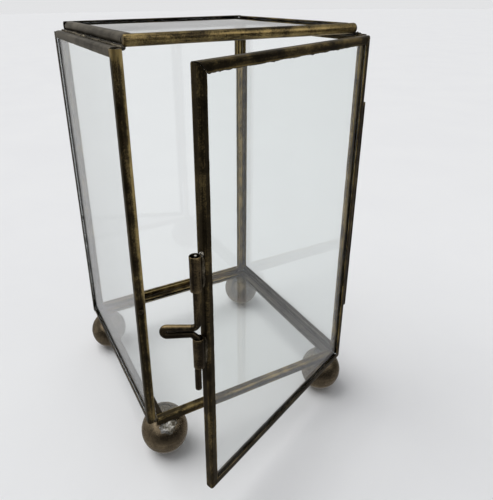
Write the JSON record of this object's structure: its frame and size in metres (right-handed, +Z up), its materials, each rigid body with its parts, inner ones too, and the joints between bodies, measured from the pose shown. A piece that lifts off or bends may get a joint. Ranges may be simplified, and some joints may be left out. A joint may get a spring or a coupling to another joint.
{
  "type": "candle lantern",
  "caption": "Square glass candle lantern with brass-channel edges, ball feet, and a front door on a wire hinge with a bent-wire latch.",
  "frame": {"origin": "on the upper face of the bottom glass, where a candle stands, midway between the lantern's two sides and midway between the front of its posts and the back of its back pane", "axes": "+X to the right along the front as seen by someone facing the door, +Y to the back, +Z up"},
  "size_m": [0.1077, 0.1417, 0.1784],
  "materials": {
    "aged_brass": "antique patina, brown-black with worn golden edges",
    "ball_brass": "darkened, softly polished",
    "wire_brass": "dark patina, satin",
    "solder": "bright lead-free solder, lumpy",
    "clear_glass": "clear, polished, faintly green at its edges"
  },
  "bodies": {
    "lantern_box": {"left_front_post": "aged_brass", "left_back_post": "aged_brass", "left_bottom_rail": "aged_brass", "left_top_rail": "aged_brass", "right_front_post": "aged_brass", "right_back_post": "aged_brass", "right_bottom_rail": "aged_brass", "right_top_rail": "aged_brass", "back_left_post": "aged_brass", "back_right_post": "aged_brass", "back_bottom_rail": "aged_brass", "back_top_rail": "aged_brass", "bottom_left_rail": "aged_brass", "bottom_right_rail": "aged_brass", "bottom_front_rail": "aged_brass", "bottom_back_rail": "aged_brass", "top_left_rail": "aged_brass", "top_right_rail": "aged_brass", "top_front_rail": "aged_brass", "top_back_rail": "aged_brass", "left_glass": "clear_glass", "right_glass": "clear_glass", "back_glass": "clear_glass", "bottom_glass": "clear_glass", "top_glass": "clear_glass", "foot_front_left": "ball_brass", "foot_front_right": "ball_brass", "foot_back_left": "ball_brass", "foot_back_right": "ball_brass", "hinge_pin": "wire_brass", "keeper_stud": "wire_brass"},
    "door": {"door_latch_stile": "aged_brass", "door_hinge_stile": "aged_brass", "door_bottom_rail": "aged_brass", "door_top_rail": "aged_brass", "door_glass": "clear_glass", "hinge_tube": "wire_brass", "latch_tube_upper": "wire_brass", "latch_tube_lower": "wire_brass"},
    "latch": {"latch_bolt": "wire_brass"}
  },
  "joints": [
    {"name": "door_hinge", "type": "hinge", "parent": "lantern_box", "child": "door", "pos_m": [0.0485, -0.0501, 0.0782], "axis": [0, 0, 1], "range_deg": [-22, 158]},
    {"name": "latch_turn", "type": "hinge", "parent": "door", "child": "latch", "pos_m": [-0.04264, -0.08692, 0.0722], "axis": [0, 0, 1], "range_deg": [0, 160]}
  ]
}
